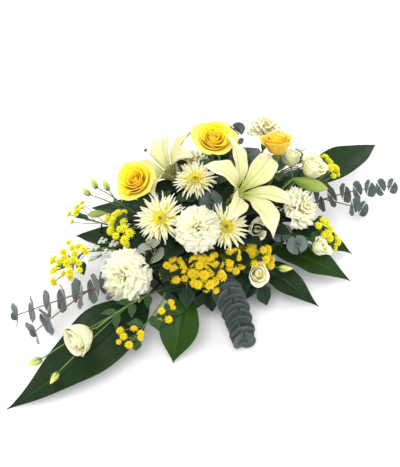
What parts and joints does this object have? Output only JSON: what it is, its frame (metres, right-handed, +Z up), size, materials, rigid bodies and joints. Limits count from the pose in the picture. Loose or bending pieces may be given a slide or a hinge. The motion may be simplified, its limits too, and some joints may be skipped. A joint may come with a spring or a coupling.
{
  "type": "casket spray",
  "caption": "Long low spray of cut lilies, roses, carnations, chrysanthemums and foliage stuck in a block of wet floral foam in a flat tray.",
  "frame": {"origin": "centre of the flat underside of the tray", "axes": "+X along the spray to its right-hand end, -Y to its front, +Z up"},
  "size_m": [0.8383, 0.3883, 0.2514],
  "materials": {
    "tray": "satin dark green moulded plastic",
    "foam": "soaked dark green floral foam",
    "aspidistra": "glossy dark green leaf with fine lengthwise veins",
    "salal": "satin dark green leaf",
    "eucalyptus": "matte blue-grey leaf with a waxy bloom",
    "stem": "matte green stem and leaves",
    "rose": "velvety golden yellow petals",
    "lily": "satin cream petals, green at the throat",
    "carnation": "matte ivory frilled petals",
    "mum": "matte ivory rays round a yellow disc",
    "lisianthus": "satin cream petals and pale green buds",
    "button": "matte bright yellow florets",
    "filler": "tiny white florets on thin green stalks"
  },
  "bodies": {
    "root": {"aspidistra_front": "aspidistra", "aspidistra_left_end": "aspidistra", "aspidistra_left_high": "aspidistra", "aspidistra_left_low": "aspidistra", "aspidistra_rear_middle": "aspidistra", "aspidistra_rear_right": "aspidistra", "aspidistra_right_end": "aspidistra", "aspidistra_right_lower": "aspidistra", "aspidistra_right_middle": "aspidistra", "aspidistra_right_upper": "aspidistra", "button_spray_front": "button", "button_spray_left": "button", "button_spray_left_front": "button", "button_spray_left_rear": "button", "button_spray_right": "button", "carnation_left": "carnation", "carnation_left_stem": "stem", "carnation_middle": "carnation", "carnation_middle_stem": "stem", "carnation_rear": "carnation", "carnation_rear_stem": "stem", "carnation_right": "carnation", "carnation_right_stem": "stem", "carnation_top": "carnation", "carnation_top_stem": "stem", "eucalyptus_centre": "eucalyptus", "eucalyptus_centre_left": "eucalyptus", "eucalyptus_front": "eucalyptus", "eucalyptus_front_right": "eucalyptus", "eucalyptus_left": "eucalyptus", "eucalyptus_right": "eucalyptus", "eucalyptus_top": "eucalyptus", "filler_left": "filler", "filler_right": "filler", "foam_block": "foam", "lily_left": "lily", "lily_left_stem": "stem", "lily_right": "lily", "lily_right_stem": "stem", "lisianthus_front_lower": "lisianthus", "lisianthus_front_upper": "lisianthus", "lisianthus_left_end": "lisianthus", "lisianthus_right": "lisianthus", "lisianthus_upper_right": "lisianthus", "rose_left": "rose", "rose_left_stem": "stem", "rose_right": "rose", "rose_right_stem": "stem", "rose_top": "rose", "rose_top_stem": "stem", "salal_front": "salal", "salal_front_left": "salal", "salal_left": "salal", "salal_rear": "salal", "salal_right": "salal", "spider_mum_left": "mum", "spider_mum_right": "mum", "spider_mum_stem": "stem", "spider_mum_top": "mum", "tray": "tray"}
  },
  "joints": []
}
